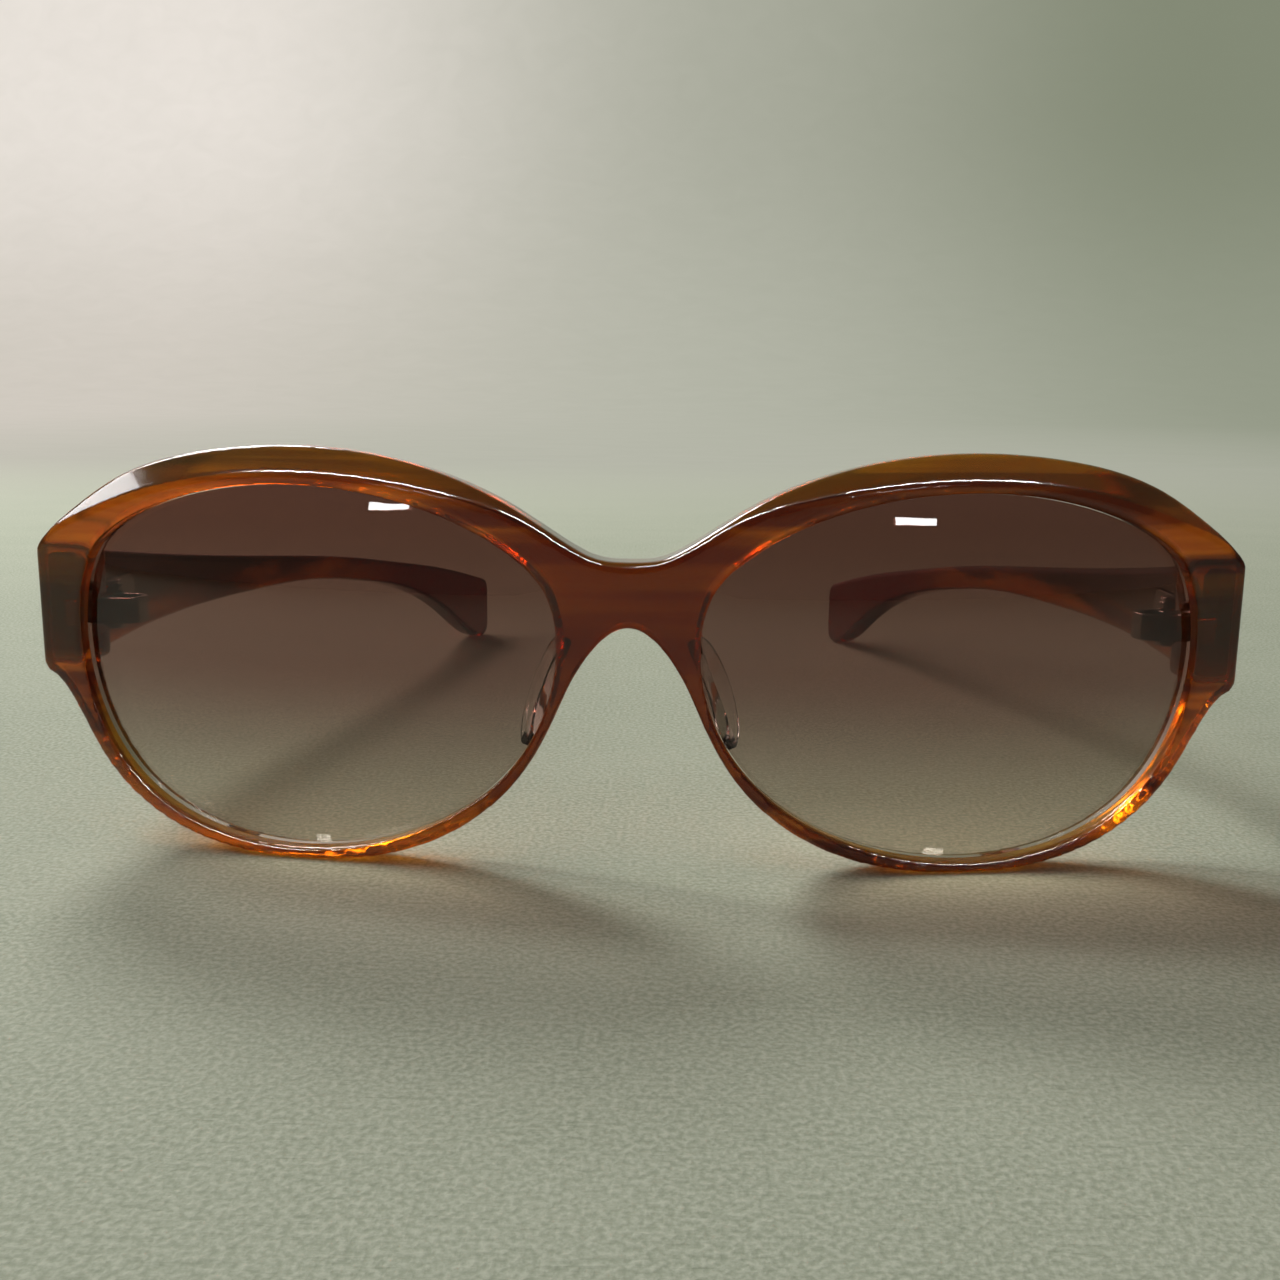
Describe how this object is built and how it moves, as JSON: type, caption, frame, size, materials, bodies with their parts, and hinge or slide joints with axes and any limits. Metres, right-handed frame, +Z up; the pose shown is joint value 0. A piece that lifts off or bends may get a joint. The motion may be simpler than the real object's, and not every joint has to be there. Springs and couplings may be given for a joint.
{
  "type": "sunglasses",
  "caption": "Large butterfly sunglasses: bevelled wrapped acetate front, tinted meniscus lenses, clear nose pads and folding temples with flared tips.",
  "frame": {"origin": "centre of the open sunglasses' bounding box in plan, at the level of the table they stand on", "axes": "+X to the wearer's left, +Y from the front towards the ears, +Z up"},
  "size_m": [0.146, 0.1514, 0.0499],
  "materials": {
    "acetate": "polished translucent amber",
    "acetate_temple": "polished translucent dark amber",
    "lens_tint": "brown gradient tint, polished",
    "clear_pad": "clear polished",
    "hinge_steel": "dark nickel",
    "screw_steel": "bright"
  },
  "bodies": {
    "front": {"front_frame": "acetate", "lens_left": "lens_tint", "lens_right": "lens_tint", "nose_pad_left": "clear_pad", "nose_pad_right": "clear_pad", "hinge_spring_left": "hinge_steel", "hinge_spring_right": "hinge_steel"},
    "temple_left": {"temple_left": "acetate_temple", "hinge_leaf_left": "hinge_steel", "leaf_screws_left": "screw_steel", "pivot_screw_left": "screw_steel"},
    "temple_right": {"temple_right": "acetate_temple", "hinge_leaf_right": "hinge_steel", "leaf_screws_right": "screw_steel", "pivot_screw_right": "screw_steel"}
  },
  "joints": [
    {"name": "left_temple_hinge", "type": "hinge", "parent": "front", "child": "temple_left", "pos_m": [0.0672, -0.05715, 0.02828], "axis": [0, 0, 1], "range_deg": [0, 78]},
    {"name": "right_temple_hinge", "type": "hinge", "parent": "front", "child": "temple_right", "pos_m": [-0.0672, -0.05715, 0.02828], "axis": [0, 0, -1], "range_deg": [0, 70]}
  ]
}
